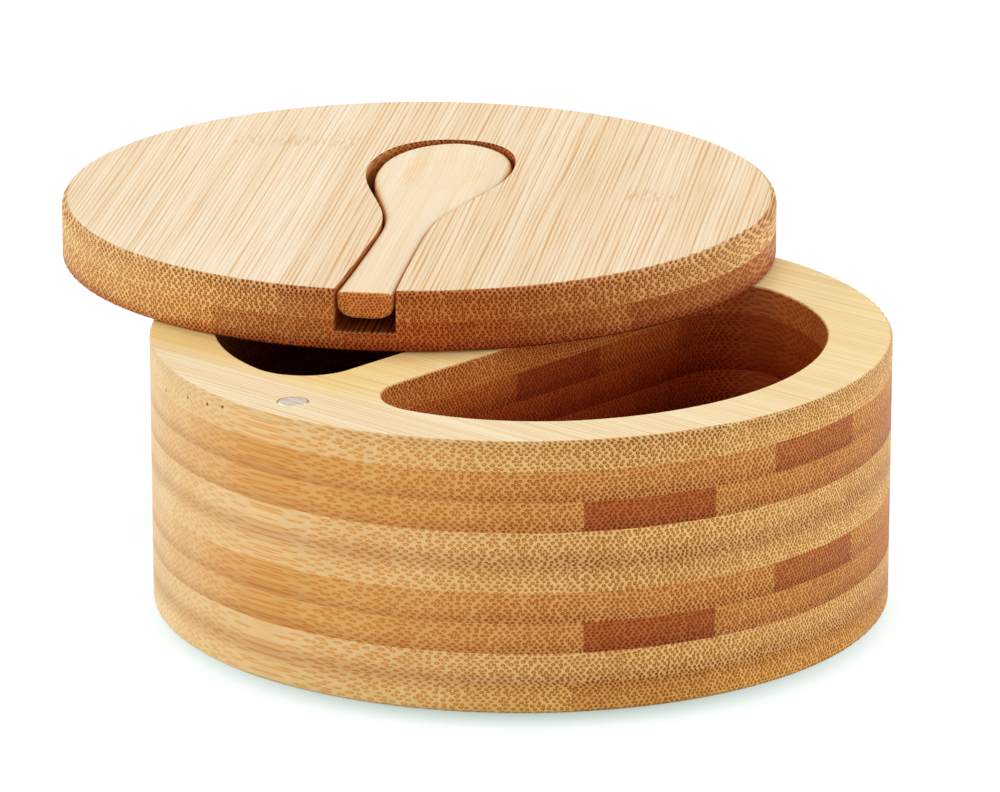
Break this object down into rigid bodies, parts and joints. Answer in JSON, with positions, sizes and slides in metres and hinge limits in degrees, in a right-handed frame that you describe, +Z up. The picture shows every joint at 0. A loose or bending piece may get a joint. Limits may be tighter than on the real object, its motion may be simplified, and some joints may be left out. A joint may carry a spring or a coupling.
{
  "type": "salt box",
  "caption": "Round laminated bamboo salt box with two D-shaped pockets, a swivel lid on a hidden pin with a magnet catch, and a spoon nested in a groove in the lid.",
  "frame": {"origin": "middle of the box's underside, where it stands", "axes": "+Z up; the pivot pin stands on +Y and the magnets meet on -Y; the grain runs along X; the shut lid's spoon points its handle along +X"},
  "size_m": [0.1705, 0.1489, 0.0567],
  "materials": {
    "bamboo_light": "sanded natural bamboo, satin food oil",
    "bamboo_caramel": "sanded caramel (steamed) bamboo, satin food oil",
    "bamboo_spoon": "fine-sanded pale bamboo",
    "pin_steel": "ground steel",
    "sleeve_nylon": "natural nylon",
    "magnet_plate": "nickel plating, faintly brushed"
  },
  "bodies": {
    "box": {"box_ply_1": "bamboo_light", "box_ply_2": "bamboo_caramel", "box_ply_3": "bamboo_caramel", "box_ply_4": "bamboo_light", "box_ply_5": "bamboo_light", "box_ply_6": "bamboo_caramel", "box_ply_7": "bamboo_caramel", "box_ply_8": "bamboo_light", "box_ply_9": "bamboo_light", "pivot_pin": "pin_steel", "slip_washer": "sleeve_nylon", "box_magnet": "magnet_plate"},
    "lid": {"lid_ply_1": "bamboo_light", "lid_ply_2": "bamboo_caramel", "pivot_sleeve": "sleeve_nylon", "lid_magnet": "magnet_plate"},
    "spoon": {"spoon": "bamboo_spoon"}
  },
  "joints": [
    {"name": "lid_swing", "type": "hinge", "parent": "box", "child": "lid", "pos_m": [0, 0.0553, 0.04628], "axis": [0, 0, 1], "continuous": true},
    {"name": "spoon_lift", "type": "slide", "parent": "lid", "child": "spoon", "axis": [0, 0, 1], "range_m": [0, 0.03]}
  ]
}
